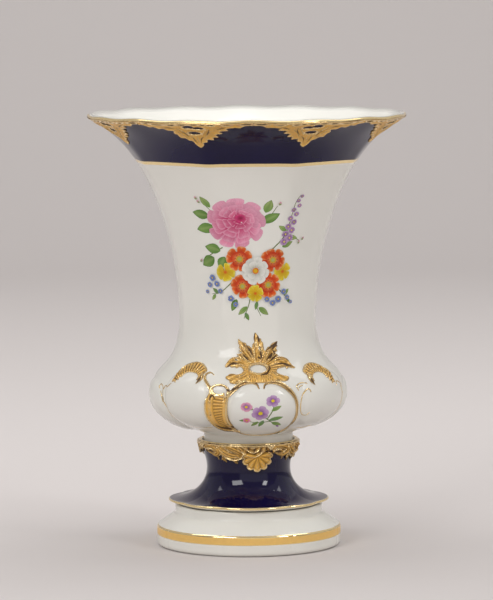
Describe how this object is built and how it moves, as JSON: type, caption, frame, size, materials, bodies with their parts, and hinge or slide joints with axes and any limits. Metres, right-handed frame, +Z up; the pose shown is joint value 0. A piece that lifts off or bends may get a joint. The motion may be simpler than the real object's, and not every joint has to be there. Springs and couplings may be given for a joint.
{
  "type": "vase",
  "caption": "Porcelain funnel vase with a lobed belly on a cobalt stem and round plinth, bolted through, with gilt reliefs and a painted spray.",
  "frame": {"origin": "centre of the plinth's underside, on the surface that the vase stands on", "axes": "+Z up along the axis of the bolt, front faces -Y, +X to the right as seen from the front"},
  "size_m": [0.2644, 0.2644, 0.3606],
  "materials": {
    "white_porcelain": "gloss",
    "cobalt_porcelain": "gloss",
    "gilding": "gilt, chased and burnished",
    "bolt_brass": "satin",
    "rubber": "matte",
    "felt": "matte"
  },
  "bodies": {
    "root": {"vessel": "white_porcelain", "stem": "cobalt_porcelain", "plinth": "white_porcelain", "vessel_gasket": "felt", "stem_gasket": "felt", "tie_bolt": "bolt_brass", "tie_nut": "bolt_brass", "head_washer": "bolt_brass", "nut_washer": "bolt_brass", "head_gasket": "rubber", "nut_gasket": "rubber", "collar_garland": "gilding", "cartouche_front": "gilding", "palmette_front": "gilding", "shell_front": "gilding", "cartouche_back": "gilding", "palmette_back": "gilding", "shell_back": "gilding", "crest_front_right": "gilding", "crest_back_right": "gilding", "crest_back_left": "gilding", "crest_front_left": "gilding", "rim_lace_1": "gilding", "rim_lace_2": "gilding", "rim_lace_3": "gilding", "rim_lace_4": "gilding", "rim_lace_5": "gilding", "rim_lace_6": "gilding", "rim_lace_7": "gilding", "rim_lace_8": "gilding"}
  },
  "joints": []
}
